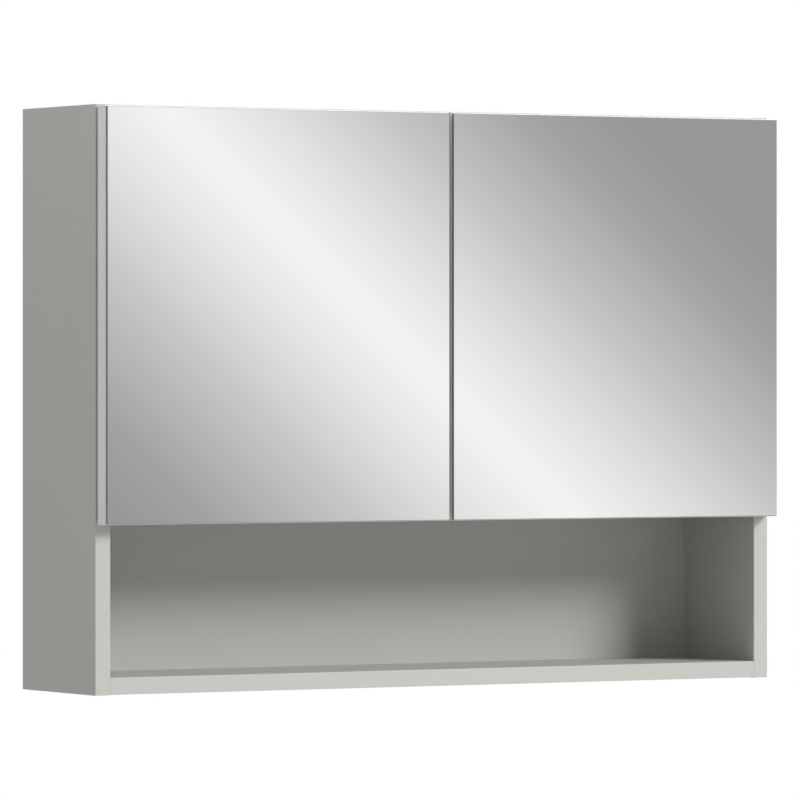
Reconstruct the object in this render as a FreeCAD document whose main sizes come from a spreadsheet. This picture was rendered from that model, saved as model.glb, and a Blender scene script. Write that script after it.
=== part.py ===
"""Hanging wall cabinet with two mirrored doors above an open niche.

Frame: +Z up, X to the right and -Y to the front. The origin lies on the wall plane, in the middle
of the four wall fixing holes. Left-hand pieces are modelled and right-hand ones are their mirrors,
but a right-hand hinge is a left-hand one turned over.
"""
import FreeCAD, Part
import math
import os

import Sketcher

Vector = FreeCAD.Vector
doc = FreeCAD.newDocument("wall_cabinet")

# ---------------------------------------------------------------- driving dimensions, millimetres
DIMENSIONS = {
    "carcass_width": 750,
    "carcass_height": 554,
    "carcass_depth": 150,
    "fixings_below_top": 66,
    "board": 16,
    "band": 1,
    "band_round": 0.7,
    "underside_lift": 0.5,
    # back panel, in grooves
    "back_thickness": 3,
    "back_recess": 18.5,
    "groove_play": 0.1,
    "groove_depth": 6.2,
    "back_tongue": 6,
    "notch_width": 22,
    "notch_height": 26,
    # doors
    "door_gap_back": 1.5,
    "door_gap_side": 1.5,
    "door_gap_middle": 3,
    "door_gap_top": 1.7,
    "door_height": 392.3,
    "door_overhang": 10,
    "mirror_thickness": 3,
    "mirror_inset": 0.6,
    "mirror_arris": 0.5,
    "bumper_thickness": 1.2,
    "bumper_radius": 4,
    "bumper_from_edge": 14,
    # shelves behind the doors
    "shelf_thickness": 5,
    "shelf_depth": 100,
    "shelf_set_back": 27,
    "shelf_play": 1.5,
    "shelf_arris": 0.4,
    "lower_shelf_height": 118,
    "upper_shelf_height": 246,
    "support_front": 38,
    "support_rear": 106,
    "support_pitch": 32,
    "support_radius": 2.5,
    "support_reach": 9,
    # knock-down fittings
    "cam_radius": 7.5,
    "cam_height": 12.5,
    "cam_distance": 34,
    "cam_front": 34,
    "cam_rear": 96,
    "dowel_step": 22,
    "dowel_radius": 4,
    "dowel_length": 30,
    "dowel_in_side": 11,
    "bolt_in_side": 10.5,
    "bore_spare": 1,
    "cam_bore_spare": 0.3,
    "pin_bore_depth": 9,
    "side_bore_depth": 12,
    "fit_play": 0.1,
    "cap_radius": 9,
    "cap_thickness": 0.4,
    # wall plates and hangers
    "plate_centre": 327,
    "plate_width": 56,
    "plate_steel": 2,
    "plate_half_height": 20,
    "fixing_half_height": 12,
    "fixing_radius": 2.75,
    "lip_offset": 5.2,
    "lip_top": 32,
    "hook_steel": 2.5,
    "hanger_width": 18,
    "hanger_depth": 50,
    "hanger_play": 0.2,
    "hanger_screw_near": 14,
    "hanger_screw_far": 36,
    "hanger_screw_height": -2,
    "hanger_low": -10,
    "hanger_high": 46,
    "hanger_middle": 10,
    "hook_nose": 5.5,
    "hook_head": 11,
    "hook_to_wall": 1.5,
    # hinges
    "hinge_from_door_end": 90,
    "cup_from_edge": 21,
    "cup_radius": 17.5,
    "cup_depth": 12.5,
    "cup_wall": 0.8,
    "flange_thickness": 1,
    "cup_screw_rise": 22.5,
    "cup_screw_side": 9.5,
    "cup_screw_depth": 11,
    "hinge_screw_depth": 37,
    "hinge_screw_pitch": 32,
    # hinge pivots: across from the side's inner face, and inward from the carcass's front
    "inner_arm_across": 10.2,
    "inner_arm_inward": 19.9,
    "inner_cup_across": -7.4,
    "inner_cup_inward": -6.3,
    "outer_arm_across": 30,
    "outer_arm_inward": 5,
    "outer_cup_across": -1.4,
    "outer_cup_inward": -6.8,
    "arm_pin_radius": 1.5,
    "cup_pin_radius": 1.1,
    "pin_play": 0.06,
    "link_steel": 2,
    # heights from the hinge's middle plane to its straps and cheeks
    "inner_half_width": 3,
    "cheek_in": 3.4,
    "cheek_out": 5.4,
    "arm_in": 5.8,
    "arm_out": 7.2,
    # eyes of the links, and the outer link's slot, which takes up the pin's travel
    "arm_eye_radius": 2.6,
    "cup_eye_radius": 2,
    "slot_reach": 2.45,
    "slot_turn": -68,
    "slot_rest_play": 0.4,
    "slot_far_play": 0.75,
    "slot_rest_wall": 0.7,
    "slot_far_wall": 0.85,
    # mounting plate and arm
    "block_front": 24,
    "block_back": 60,
    "block_top": 14,
    "front_adjuster": 34,
    "rear_adjuster": 50,
}

sheet = doc.addObject("Spreadsheet::Sheet", "Sizes")
for row, (alias, number) in enumerate(DIMENSIONS.items(), start=1):
    sheet.set(f"A{row}", alias)
    sheet.set(f"B{row}", str(number))
    sheet.setAlias(f"B{row}", alias)
doc.recompute()


def bound(text):
    """Names the sheet in front of every alias of an expression."""
    words = []
    word = ""
    for letter in text + " ":
        if letter.isalnum() or letter == "_":
            word += letter
            continue
        words.append("Sizes." + word if word in DIMENSIONS else word)
        words.append(letter)
        word = ""
    return "".join(words).strip()


def value(text):
    """The present number of an expression of the sheet's aliases."""
    return float(sheet.evalExpression(text))


# ---------------------------------------------------------------- helpers
NODES = []


def keep(piece):
    """Marks an object as a sub-part whose shape becomes a file."""
    NODES.append(piece)
    return piece


def new_body(label, place=("0", "0", "0")):
    body = doc.addObject("PartDesign::Body", label)
    for axis, text in zip("xyz", place):
        body.setExpression(f"Placement.Base.{axis}", bound(text))
    return body


def new_sketch(body, role, offset="0"):
    """A sketch on one of the body's own origin planes, moved along its normal by offset."""
    sketch = body.newObject("Sketcher::SketchObject", body.Name + "_sketch")
    plane = next(item for item in body.Origin.OriginFeatures if item.Role == role)
    sketch.AttachmentSupport = (plane, [""])
    sketch.MapMode = "FlatFace"
    sketch.setExpression("AttachmentOffset.Base.z", bound(offset))
    return sketch


def add_polygon(sketch, points):
    """A closed outline whose corners are all held by expressions from the sketch's origin."""
    corners = [Vector(value(x), value(y), 0) for x, y in points]
    first = sketch.GeometryCount
    count = len(corners)
    for index in range(count):
        line = Part.LineSegment(corners[index], corners[(index + 1) % count])
        sketch.addGeometry(line, False)
    for index in range(count):
        following = first + (index + 1) % count
        sketch.addConstraint(Sketcher.Constraint("Coincident", first + index, 2, following, 1))
    for index, texts in enumerate(points):
        for kind, text in zip(("DistanceX", "DistanceY"), texts):
            number = value(text)
            held = sketch.addConstraint(Sketcher.Constraint(kind, -1, 1, first + index, 1, number))
            sketch.setExpression(f"Constraints[{held}]", bound(text))


def add_rectangle(sketch, left, low, right, high):
    add_polygon(sketch, [(left, low), (right, low), (right, high), (left, high)])


def add_circle(sketch, x, y, radius):
    centre = Vector(value(x), value(y), 0)
    circle = sketch.addGeometry(Part.Circle(centre, Vector(0, 0, 1), value(radius)), False)
    for kind, text in (("DistanceX", x), ("DistanceY", y)):
        held = sketch.addConstraint(Sketcher.Constraint(kind, -1, 1, circle, 3, value(text)))
        sketch.setExpression(f"Constraints[{held}]", bound(text))
    held = sketch.addConstraint(Sketcher.Constraint("Radius", circle, value(radius)))
    sketch.setExpression(f"Constraints[{held}]", bound(radius))


def pad(body, sketch, length, backwards=False):
    feature = body.newObject("PartDesign::Pad", body.Name + "_pad")
    feature.Profile = sketch
    feature.setExpression("Length", bound(length))
    feature.Reversed = backwards
    body.Tip = feature
    doc.recompute()
    return feature


def pocket(body, sketch, depth, backwards=False):
    """Cuts a sketch into the body, and stops if nothing was cut."""
    before = body.Shape.Volume
    feature = body.newObject("PartDesign::Pocket", body.Name + "_pocket")
    feature.Profile = sketch
    feature.setExpression("Length", bound(depth))
    feature.Reversed = backwards
    body.Tip = feature
    doc.recompute()
    if body.Shape.Volume > before - 0.01:
        raise RuntimeError(f"{feature.Label} cuts nothing")
    return feature


def mirrored_in_body(body, features, role):
    feature = body.newObject("PartDesign::Mirrored", body.Name + "_mirrored")
    plane = next(item for item in body.Origin.OriginFeatures if item.Role == role)
    feature.Originals = features
    feature.MirrorPlane = (plane, [""])
    body.Tip = feature
    doc.recompute()
    return feature


def row_in_body(body, features, role, length, count):
    feature = body.newObject("PartDesign::LinearPattern", body.Name + "_row")
    axis = next(item for item in body.Origin.OriginFeatures if item.Role == role)
    feature.Originals = features
    feature.Direction = (axis, [""])
    feature.setExpression("Length", bound(length))
    feature.Occurrences = count
    body.Tip = feature
    doc.recompute()
    return feature


def round_edges(body, radius, wanted, kind="Fillet"):
    """Rounds or chamfers the edges of the body's tip that wanted(edge) picks."""
    tip = body.Tip
    names = [f"Edge{n}" for n, edge in enumerate(tip.Shape.Edges, start=1) if wanted(edge)]
    feature = body.newObject("PartDesign::" + kind, body.Name + "_edges")
    feature.Base = (tip, names)
    feature.setExpression("Radius" if kind == "Fillet" else "Size", bound(radius))
    body.Tip = feature
    doc.recompute()
    return feature


def mirror_piece(label, source):
    """The right-hand twin of a left-hand piece."""
    twin = doc.addObject("Part::Mirroring", label)
    twin.Source = source
    twin.Base = Vector(0, 0, 0)
    twin.Normal = Vector(1, 0, 0)
    return keep(twin)


def group(label, pieces):
    """Identical pieces that share one node, each a solid of its own."""
    compound = doc.addObject("Part::Compound", label)
    compound.Links = pieces
    return keep(compound)


def keep_both_sides(label, left_pieces):
    """One node for identical pieces: those of the left side and their twins on the right."""
    left = doc.addObject("Part::Compound", label + "_left")
    left.Links = left_pieces
    right = doc.addObject("Part::Mirroring", label + "_right")
    right.Source = left
    right.Normal = Vector(1, 0, 0)
    return group(label, [left, right])


def copy_at(source, x=0.0, y=0.0, z=0.0, turn=0.0, axis=Vector(0, 0, 1)):
    link = doc.addObject("App::Link", source.Name + "_copy")
    link.LinkedObject = source
    link.Placement = FreeCAD.Placement(Vector(x, y, z), FreeCAD.Rotation(axis, turn))
    return link


def cylinder(radius, start, direction, length):
    """A plain cylinder shape for the small turned pieces."""
    return Part.makeCylinder(radius, length, Vector(*start), Vector(*direction))


def shape_piece(label, shape):
    """A piece whose shape is worked out here, from the sheet's sizes."""
    piece = doc.addObject("Part::Feature", label)
    piece.Shape = shape.removeSplitter()
    return piece


# ---------------------------------------------------------------- places used by several pieces
SIDE_INNER = "carcass_width/2 - board"
BOTTOM = "(fixings_below_top - carcass_height)"
FRONT = "(0 - carcass_depth)"
BOARD_DEPTH = "(carcass_depth - band)"
BACK_FRONT = "(carcass_depth - band - back_recess - back_thickness)"
DOOR_TOP = "(carcass_height - door_gap_top)"
DOOR_BOTTOM = f"({DOOR_TOP} - door_height)"
LEVELS = {
    "bottom": "underside_lift",
    "middle": f"({DOOR_BOTTOM} + door_overhang)",
    "top": "(carcass_height - board)",
}
HINGES = {
    "lower": f"({DOOR_BOTTOM} + hinge_from_door_end)",
    "upper": f"({DOOR_TOP} - hinge_from_door_end)",
}
SHELVES = {
    "lower": f"({LEVELS['middle']} + board + lower_shelf_height)",
    "upper": f"({LEVELS['middle']} + board + upper_shelf_height)",
}


# ---------------------------------------------------------------- boards of the carcass
def add_groove(sketch, along_x, length):
    """The back panel's groove, as long as the board."""
    near = f"{BACK_FRONT} - groove_play"
    far = f"{BACK_FRONT} + back_thickness + groove_play"
    if along_x:
        add_rectangle(sketch, f"0 - {length}", near, length, far)
    else:
        add_rectangle(sketch, near, "0", far, length)


def make_side_panel():
    body = new_body("left_side_panel", ("0 - carcass_width/2", f"{FRONT} + band", BOTTOM))
    outline = new_sketch(body, "YZ_Plane")
    add_rectangle(outline, "0", "0", BOARD_DEPTH, "carcass_height")
    pad(body, outline, "board")

    groove = new_sketch(body, "YZ_Plane", "board")
    add_groove(groove, False, "carcass_height")
    pocket(body, groove, "groove_depth")

    bores = new_sketch(body, "YZ_Plane", "board")
    for level in LEVELS.values():
        for place in ("cam_front", "cam_rear"):
            add_circle(bores, place, f"{level} + board/2", "support_radius")
            add_circle(bores, f"{place} + dowel_step", f"{level} + board/2", "dowel_radius")
    pocket(body, bores, "side_bore_depth")

    pins = new_sketch(body, "YZ_Plane", "board")
    for shelf in SHELVES.values():
        for place in ("support_front", "support_rear"):
            height = f"{shelf} - support_radius - support_pitch"
            add_circle(pins, f"{place} - band", height, "support_radius")
    first = pocket(body, pins, "pin_bore_depth")
    row_in_body(body, [first], "Z_Axis", "2*support_pitch", 3)

    pilots = new_sketch(body, "YZ_Plane", "board")
    for hinge in HINGES.values():
        for side in ("-", "+"):
            height = f"{hinge} {side} hinge_screw_pitch/2"
            add_circle(pilots, "hinge_screw_depth - band", height, "support_radius")
    for depth in ("hanger_screw_near", "hanger_screw_far"):
        height = f"0 - {BOTTOM} + hanger_screw_height"
        add_circle(pilots, f"{BACK_FRONT} - hanger_play - {depth}", height, "support_radius")
    pocket(body, pilots, "side_bore_depth")
    return keep(body)


def make_shelf_board(name):
    """A board between the sides. The bores for cams open on the face that is out of sight."""
    level = LEVELS[name]
    middle = name == "middle"
    depth = f"({BACK_FRONT} - groove_play)" if middle else BOARD_DEPTH
    place = ("0", f"{FRONT} + band", f"{BOTTOM} + {level}")
    body = new_body(name + "_panel", place)
    outline = new_sketch(body, "XY_Plane")
    add_rectangle(outline, f"0 - ({SIDE_INNER})", "0", SIDE_INNER, depth)
    pad(body, outline, "board")
    if not middle:
        face = "0" if name == "top" else "board"
        groove = new_sketch(body, "XY_Plane", face)
        add_groove(groove, True, f"({SIDE_INNER})")
        pocket(body, groove, "groove_depth", backwards=name == "top")

    cams = new_sketch(body, "XY_Plane", "0" if name == "bottom" else "board")
    for place in ("cam_front", "cam_rear"):
        centre = f"0 - ({SIDE_INNER}) + cam_distance"
        add_circle(cams, centre, place, "cam_radius")
    cam_bores = pocket(body, cams, "cam_height + cam_bore_spare", backwards=name == "bottom")
    mirrored_in_body(body, [cam_bores], "YZ_Plane")

    ends = new_sketch(body, "YZ_Plane", f"0 - ({SIDE_INNER})")
    for place in ("cam_front", "cam_rear"):
        add_circle(ends, place, "board/2", "dowel_radius")
    bolt_bores = pocket(body, ends, "cam_distance - cam_radius + bore_spare", backwards=True)
    mirrored_in_body(body, [bolt_bores], "YZ_Plane")

    dowels = new_sketch(body, "YZ_Plane", f"0 - ({SIDE_INNER})")
    for place in ("cam_front", "cam_rear"):
        add_circle(dowels, f"{place} + dowel_step", "board/2", "dowel_radius")
    dowel_bores = pocket(body, dowels, "dowel_length - dowel_in_side + 2*bore_spare", backwards=True)
    mirrored_in_body(body, [dowel_bores], "YZ_Plane")
    return keep(body)


def make_back_panel():
    body = new_body("back_panel", ("0", f"{FRONT} + band + {BACK_FRONT}", BOTTOM))
    outline = new_sketch(body, "XZ_Plane")
    edge = f"({SIDE_INNER} + back_tongue)"
    notch = f"({SIDE_INNER} - notch_width)"
    low = "(underside_lift + board - back_tongue)"
    high = "(carcass_height - board + back_tongue)"
    step = "(carcass_height - board - notch_height)"
    points = [
        (f"0 - {edge}", low),
        (edge, low),
        (edge, step),
        (notch, step),
        (notch, high),
        (f"0 - {notch}", high),
        (f"0 - {notch}", step),
        (f"0 - {edge}", step),
    ]
    add_polygon(outline, points)
    pad(body, outline, "back_thickness", backwards=True)
    return keep(body)


def make_band(label, width, height, place):
    """A glued edge band on a board's front edge, with both long front edges rounded."""
    body = new_body(label, place)
    outline = new_sketch(body, "XZ_Plane")
    add_rectangle(outline, "0", "0", width, height)
    pad(body, outline, "band", backwards=True)
    upright = value(height) > value(width)

    def is_long_front_edge(edge):
        middle = edge.BoundBox.Center
        long_side = edge.BoundBox.ZLength if upright else edge.BoundBox.XLength
        return middle.y < 0.001 and long_side > value("board") + 1

    round_edges(body, "band_round", is_long_front_edge)
    return keep(body)


left_side_panel = make_side_panel()
mirror_piece("right_side_panel", left_side_panel)
for board_name in LEVELS:
    make_shelf_board(board_name)
make_back_panel()
left_side_band = make_band(
    "left_side_edge_band", "board", "carcass_height", ("0 - carcass_width/2", FRONT, BOTTOM)
)
mirror_piece("right_side_edge_band", left_side_band)
for board_name, level_text in LEVELS.items():
    make_band(
        board_name + "_edge_band",
        f"2*({SIDE_INNER})",
        "board",
        (f"0 - ({SIDE_INNER})", FRONT, f"{BOTTOM} + {level_text}"),
    )


# ---------------------------------------------------------------- glass shelves and their supports
def make_glass_shelf(name):
    edge = f"({SIDE_INNER} - shelf_play)"
    place = ("0", f"{FRONT} + shelf_set_back", f"{BOTTOM} + {SHELVES[name]}")
    body = new_body(name + "_glass_shelf", place)
    outline = new_sketch(body, "XY_Plane")
    add_rectangle(outline, f"0 - {edge}", "0", edge, "shelf_depth")
    pad(body, outline, "shelf_thickness")
    round_edges(body, "shelf_arris", lambda edge: True, "Chamfer")
    return keep(body)


def make_shelf_support():
    """A pin in the side panel, a collar against it and a peg with a flat for the glass."""
    play = value("fit_play")
    radius = value("support_radius")
    inside = value("pin_bore_depth - 2")
    collar_thickness = 1
    pin = cylinder(radius - play, (-inside, 0, 0), (1, 0, 0), inside)
    collar = cylinder(2 * radius, (0, 0, 0), (1, 0, 0), collar_thickness)
    reach = value("support_reach") - collar_thickness
    peg = cylinder(1.2 * radius, (collar_thickness, 0, 0), (1, 0, 0), reach)
    room = 4 * value("support_reach")
    above_flat = Part.makeBox(room, room, room, Vector(-0.5, -room / 2, radius))
    return pin.fuse([collar, peg]).cut(above_flat)


def support_places():
    """Depth and height of each support on one side."""
    for shelf in SHELVES.values():
        for place in ("support_front", "support_rear"):
            height = value(f"{BOTTOM} + {shelf} - support_radius")
            yield value(f"{FRONT} + {place}"), height


for shelf_name in SHELVES:
    make_glass_shelf(shelf_name)
side_inner = value(SIDE_INNER)
shelf_support = shape_piece("shelf_support", make_shelf_support())
keep_both_sides(
    "shelf_supports", [copy_at(shelf_support, -side_inner, y, z) for y, z in support_places()]
)


# ---------------------------------------------------------------- knock-down fittings
NECK_RADIUS, NECK_LENGTH = 1.8, 7
HEAD_RADIUS, HEAD_LENGTH = 3.2, 3.8
CAM_PLAY = 0.5
CROSS_WIDTH, CROSS_LENGTH, CROSS_DEPTH = 1.4, 7.6, 2.2


def make_cam_disc():
    """Opens towards -X for the bolt, whose neck and head it grips. Its cross slot is on top."""
    radius = value("cam_radius - fit_play")
    height = value("cam_height")
    bolt_height = value("board/2 - (board - cam_height - cam_bore_spare)")
    disc = cylinder(radius, (0, 0, 0), (0, 0, 1), height)
    neck = NECK_RADIUS + CAM_PLAY - 0.1
    neck_slot = Part.makeBox(radius + 1, 2 * neck, bolt_height + neck, Vector(-radius - 1, -neck, 0))
    head = HEAD_RADIUS + CAM_PLAY
    head_room = Part.makeBox(head + 1.3, 2 * head, bolt_height + head, Vector(-head, -head, 0))
    low = height - CROSS_DEPTH
    half_width, half_length = CROSS_WIDTH / 2, CROSS_LENGTH / 2
    corner = Vector(-half_length, -half_width, low)
    slot_along = Part.makeBox(CROSS_LENGTH, CROSS_WIDTH, CROSS_DEPTH, corner)
    corner = Vector(-half_width, -half_length, low)
    slot_across = Part.makeBox(CROSS_WIDTH, CROSS_LENGTH, CROSS_DEPTH, corner)
    return disc.cut([neck_slot, head_room, slot_along, slot_across])


def make_cam_bolt():
    """Screwed into a side panel, with its axis along X and its head in the cam."""
    reach = value("cam_distance")
    shoulder = value("cam_distance - cam_radius") - CAM_PLAY
    inside = value("bolt_in_side")
    thread = cylinder(2.4, (-inside, 0, 0), (1, 0, 0), inside)
    shank = cylinder(3.1, (0, 0, 0), (1, 0, 0), shoulder)
    neck = cylinder(NECK_RADIUS, (shoulder, 0, 0), (1, 0, 0), NECK_LENGTH)
    head = cylinder(HEAD_RADIUS, (reach - HEAD_RADIUS, 0, 0), (1, 0, 0), HEAD_LENGTH)
    return thread.fuse([shank, neck, head])


def make_dowel():
    """A beech dowel with chamfered ends, part of it in the side panel."""
    radius = value("dowel_radius - fit_play")
    inside = value("dowel_in_side")
    dowel = cylinder(radius, (-inside, 0, 0), (1, 0, 0), value("dowel_length"))
    ends = [edge for edge in dowel.Edges if edge.Closed and len(edge.Vertexes) == 1]
    return dowel.makeChamfer(radius / 5, ends)


def joint_places(step):
    """Height of each board and depth of its fittings, on the left side."""
    for name, level in LEVELS.items():
        for place in ("cam_front", "cam_rear"):
            yield name, value(f"{FRONT} + band + {place} + {step}"), value(f"{BOTTOM} + {level}")


cam_disc = shape_piece("cam_disc", make_cam_disc())
cam_bolt = shape_piece("cam_bolt", make_cam_bolt())
wood_dowel = shape_piece("wood_dowel", make_dowel())
cover_cap = shape_piece(
    "cover_cap", cylinder(value("cap_radius"), (0, 0, 0), (0, 0, 1), value("cap_thickness"))
)
board = value("board")
cam_x = value("cam_distance") - side_inner
cam_copies = []
cap_copies = []
for joint_board, depth_place, height_place in joint_places("0"):
    if joint_board == "bottom":
        seat = height_place + value("cam_height + cam_bore_spare")
        disc_copy = copy_at(cam_disc, cam_x, depth_place, seat, 180, Vector(1, 0, 0))
        cap_height = height_place - value("cap_thickness")
    else:
        seat = height_place + value("board - cam_height - cam_bore_spare")
        disc_copy = copy_at(cam_disc, cam_x, depth_place, seat)
        cap_height = height_place + board
    cam_copies.append(disc_copy)
    cap_copies.append(copy_at(cover_cap, cam_x, depth_place, cap_height))
keep_both_sides("cam_discs", cam_copies)
keep_both_sides("cam_cover_caps", cap_copies)
keep_both_sides(
    "cam_bolts",
    [copy_at(cam_bolt, -side_inner, y, z + board / 2) for _, y, z in joint_places("0")],
)
keep_both_sides(
    "wood_dowels",
    [copy_at(wood_dowel, -side_inner, y, z + board / 2) for _, y, z in joint_places("dowel_step")],
)


# ---------------------------------------------------------------- wall plates and hangers
def make_wall_plate():
    """A bent steel plate: two fixing holes below, and a lip that stands off the wall above."""
    body = new_body("left_wall_plate", ("0 - plate_centre - plate_width/2", "0", "0"))
    profile = new_sketch(body, "YZ_Plane")
    outer = "0 - lip_offset - plate_steel"
    points = [
        ("0", "0 - plate_half_height"),
        ("0", "plate_half_height"),
        ("0 - lip_offset", "plate_half_height"),
        ("0 - lip_offset", "lip_top"),
        (outer, "lip_top"),
        (outer, "plate_half_height - plate_steel"),
        ("0 - plate_steel", "plate_half_height - plate_steel"),
        ("0 - plate_steel", "0 - plate_half_height"),
    ]
    add_polygon(profile, points)
    pad(body, profile, "plate_width")
    holes = new_sketch(body, "XZ_Plane")
    for side in ("-", "+"):
        add_circle(holes, "plate_width/2", f"0 {side} fixing_half_height", "fixing_radius")
    pocket(body, holes, "plate_steel + 1", backwards=True)
    return keep(body)


def make_hook():
    """The steel hook: a bar from the housing through the back panel's notch, with a tip behind."""
    place = (f"0 - ({SIDE_INNER}) + hanger_width/2 - hook_steel/2", "0", "0")
    body = new_body("left_hanger_hook", place)
    profile = new_sketch(body, "YZ_Plane")
    near = "0 - back_recess - back_thickness - hanger_depth + 8"
    nose = "0 - lip_offset + 1"
    points = [
        (near, "lip_top"),
        (nose, "lip_top"),
        (nose, "lip_top - hook_nose"),
        ("0 - hook_to_wall", "lip_top - hook_nose"),
        ("0 - hook_to_wall", "lip_top + hook_head - 3"),
        ("0 - hook_to_wall - 3", "lip_top + hook_head"),
        (near, "lip_top + hook_head"),
    ]
    add_polygon(profile, points)
    pad(body, profile, "hook_steel")
    return keep(body)


def make_hanger_housing():
    """A cup-shaped moulding on the side panel, open at the back, with bores for its screws."""
    back = value("0 - back_recess - back_thickness - hanger_play")
    depth = value("hanger_depth")
    width = value("hanger_width")
    low, high = value("hanger_low"), value("hanger_high")
    wall, side_wall = 2.0, 4.5
    left = -side_inner
    outer = Part.makeBox(width, depth, high - low, Vector(left, back - depth, low))
    upright = [e for e in outer.Edges if e.BoundBox.ZLength > 1 and e.BoundBox.XMax > left + 1]
    outer = outer.makeFillet(3, [e for e in upright if e.BoundBox.YMax < back - 1])
    hollow_corner = Vector(left + side_wall, back - depth + 2 * wall, low + wall)
    hollow_size = (width - wall - side_wall, depth, high - low - 2 * wall)
    shape = outer.cut(Part.makeBox(*hollow_size, hollow_corner))
    for x, y, z, direction, radius, length in housing_bores():
        shape = shape.cut(cylinder(radius, (x, y, z), direction, length))
    piece = shape_piece("left_hanger_housing", shape)
    return keep(piece)


HOUSING_SCREW_DEPTHS = (value("hanger_screw_near"), value("hanger_screw_far"))
HOUSING_SCREW_HEIGHT = value("hanger_screw_height")
ADJUSTER_HEIGHTS = (6, 20)


def housing_bores():
    """Position, direction, radius and length of the two adjuster and two fixing bores."""
    back = value("0 - back_recess - back_thickness - hanger_play")
    front = back - value("hanger_depth")
    middle = value("hanger_middle") - side_inner
    for height in ADJUSTER_HEIGHTS:
        yield middle, front - 1, height, (0, 1, 0), 3.6, 6
    for depth in HOUSING_SCREW_DEPTHS:
        yield -side_inner - 1, back - depth, HOUSING_SCREW_HEIGHT, (1, 0, 0), 2.6, 6


def make_adjusting_screw():
    """A slotted screw, its head flush in the front of the housing, its axis along Y."""
    head = cylinder(3.4, (0, 0, 0), (0, 1, 0), 3)
    shank = cylinder(2, (0, 3, 0), (0, 1, 0), 22)
    slot = Part.makeBox(6, 1.2, 1.2, Vector(-3, 0, -0.6))
    return head.fuse(shank).cut(slot)


def make_fixing_screw():
    """A screw through the housing's wall into the side panel, its axis along X."""
    shank = cylinder(2.2, (-11, 0, 0), (1, 0, 0), 15.5)
    head = cylinder(4, (4.5, 0, 0), (1, 0, 0), 2)
    slot = Part.makeBox(1, 6, 1, Vector(5.6, -3, -0.5))
    return shank.fuse(head).cut(slot)


left_wall_plate = make_wall_plate()
mirror_piece("right_wall_plate", left_wall_plate)
left_hook = make_hook()
mirror_piece("right_hanger_hook", left_hook)
left_housing = make_hanger_housing()
mirror_piece("right_hanger_housing", left_housing)
adjusting_screw = shape_piece("adjusting_screw", make_adjusting_screw())
adjuster_x = value("hanger_middle") - side_inner
housing_front = value("0 - back_recess - back_thickness - hanger_play - hanger_depth")
keep_both_sides(
    "hanger_adjusting_screws",
    [copy_at(adjusting_screw, adjuster_x, housing_front, z) for z in ADJUSTER_HEIGHTS],
)
fixing_screw = shape_piece("fixing_screw", make_fixing_screw())
housing_back = housing_front + value("hanger_depth")
keep_both_sides(
    "hanger_fixing_screws",
    [
        copy_at(fixing_screw, -side_inner, housing_back - depth, HOUSING_SCREW_HEIGHT)
        for depth in HOUSING_SCREW_DEPTHS
    ],
)


# ---------------------------------------------------------------- doors
DOOR_WIDTH = "((carcass_width - door_gap_middle)/2 - door_gap_side)"
DOOR_LEFT = "(0 - carcass_width/2 + door_gap_side)"
DOOR_RIGHT = f"({DOOR_LEFT} + {DOOR_WIDTH})"
DOOR_BACK = f"({FRONT} - door_gap_back)"
BOARD_FRONT = f"({DOOR_BACK} - board)"
CUP_CENTRES = [f"{height} - {DOOR_BOTTOM}" for height in HINGES.values()]


def make_door_panel():
    """The door board inside its edge bands, bored for two hinge cups and their screws."""
    place = (f"{DOOR_LEFT} + band", DOOR_BACK, f"{BOTTOM} + {DOOR_BOTTOM} + band")
    body = new_body("left_door_panel", place)
    outline = new_sketch(body, "XZ_Plane")
    add_rectangle(outline, "0", "0", f"{DOOR_WIDTH} - 2*band", "door_height - 2*band")
    pad(body, outline, "board")
    cups = new_sketch(body, "XZ_Plane")
    screws = new_sketch(body, "XZ_Plane")
    for centre in CUP_CENTRES:
        add_circle(cups, "cup_from_edge - band", f"{centre} - band", "cup_radius")
        for side in ("-", "+"):
            height = f"{centre} - band {side} cup_screw_rise"
            across = "cup_from_edge - band + cup_screw_side"
            add_circle(screws, across, height, "support_radius")
    pocket(body, cups, "cup_depth + cam_bore_spare", backwards=True)
    pocket(body, screws, "cup_screw_depth", backwards=True)
    return keep(body)


def make_mirror():
    """A sheet of mirror glass on the board's front, with a polished arris round its front."""
    place = (
        f"{DOOR_LEFT} + mirror_inset",
        BOARD_FRONT,
        f"{BOTTOM} + {DOOR_BOTTOM} + mirror_inset",
    )
    body = new_body("left_mirror", place)
    outline = new_sketch(body, "XZ_Plane")
    width = f"{DOOR_WIDTH} - 2*mirror_inset"
    add_rectangle(outline, "0", "0", width, "door_height - 2*mirror_inset")
    pad(body, outline, "mirror_thickness")
    thickness = value("mirror_thickness")

    def is_front_edge(edge):
        return edge.BoundBox.YMax < 0.001 - thickness

    round_edges(body, "mirror_arris", is_front_edge, "Chamfer")
    return keep(body)


def make_door_band(name, left, low, right, high, outer_axis, outer_side):
    """One strip of a door's edge band, with its two long outer edges rounded."""
    body = new_body(
        f"left_door_{name}_band",
        (f"{DOOR_LEFT} + {left}", DOOR_BACK, f"{BOTTOM} + {DOOR_BOTTOM} + {low}"),
    )
    outline = new_sketch(body, "XZ_Plane")
    add_rectangle(outline, "0", "0", f"({right}) - ({left})", f"({high}) - ({low})")
    pad(body, outline, "board")

    def is_long_outer_edge(edge):
        bounds = edge.BoundBox
        low_side = getattr(bounds, outer_axis + "Min")
        high_side = getattr(bounds, outer_axis + "Max")
        limit = getattr(body.Tip.Shape.BoundBox, outer_axis + outer_side)
        on_outer_face = abs(low_side - limit) < 0.001 and abs(high_side - limit) < 0.001
        return on_outer_face and max(bounds.XLength, bounds.ZLength) > value("board") + 1

    round_edges(body, "band_round", is_long_outer_edge)
    return body


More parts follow.
